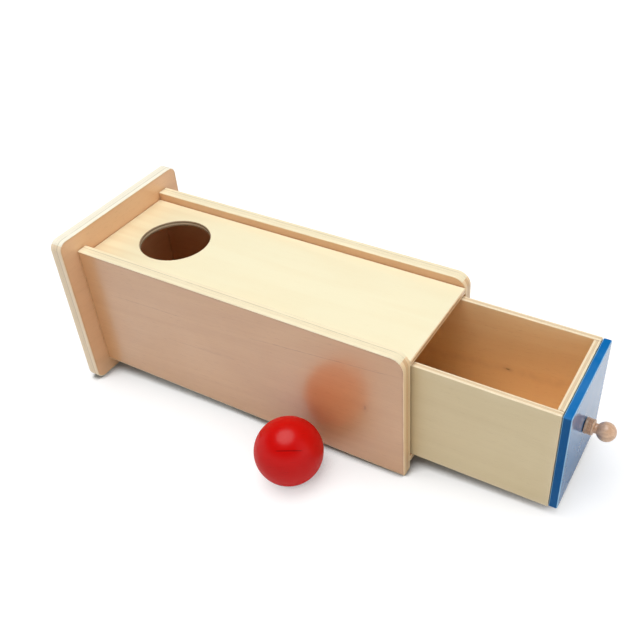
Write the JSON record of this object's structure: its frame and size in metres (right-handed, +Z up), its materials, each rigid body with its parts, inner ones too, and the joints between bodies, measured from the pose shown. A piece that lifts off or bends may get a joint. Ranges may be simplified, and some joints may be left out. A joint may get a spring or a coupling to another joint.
{
  "type": "ball drawer box",
  "caption": "Wooden ball drop box: a leaning plywood case with a square end plate and a round hole in its top, a sliding drawer with a painted front and a turned knob, and a loose ball.",
  "frame": {"origin": "on the floor, under the middle of the bounding box of the box, its open drawer and its ball", "axes": "+X toward the drawer's front along the floor, +Y toward the right side board, +Z up"},
  "size_m": [0.3402, 0.1448, 0.1103],
  "materials": {
    "case_plywood": "clear satin lacquer on birch plywood",
    "dowel_wood": "bare hardwood",
    "drawer_plywood": "clear satin lacquer on birch plywood",
    "front_paint": "blue gloss paint",
    "knob_wood": "clear satin lacquer",
    "screw_steel": "bright zinc",
    "ball_paint": "red satin paint"
  },
  "bodies": {
    "case": {"end_plate": "case_plywood", "side_left": "case_plywood", "side_right": "case_plywood", "top_panel": "case_plywood", "bottom_panel": "case_plywood", "dowel_left_lower": "dowel_wood", "dowel_left_upper": "dowel_wood", "dowel_right_lower": "dowel_wood", "dowel_right_upper": "dowel_wood"},
    "drawer": {"drawer_side_left": "drawer_plywood", "drawer_side_right": "drawer_plywood", "drawer_back": "drawer_plywood", "drawer_inner_front": "drawer_plywood", "drawer_bottom": "drawer_plywood", "drawer_front": "front_paint", "knob": "knob_wood", "knob_screw": "screw_steel"},
    "ball": {"ball": "ball_paint"}
  },
  "joints": [
    {"name": "drawer_slide", "type": "slide", "parent": "case", "child": "drawer", "axis": [0.9988, 0, -0.0484], "range_m": [-0.086, 0.08]},
    {"name": "ball_lift", "type": "slide", "parent": "case", "child": "ball", "axis": [0, 0, 1], "range_m": [0, 0.15]}
  ]
}
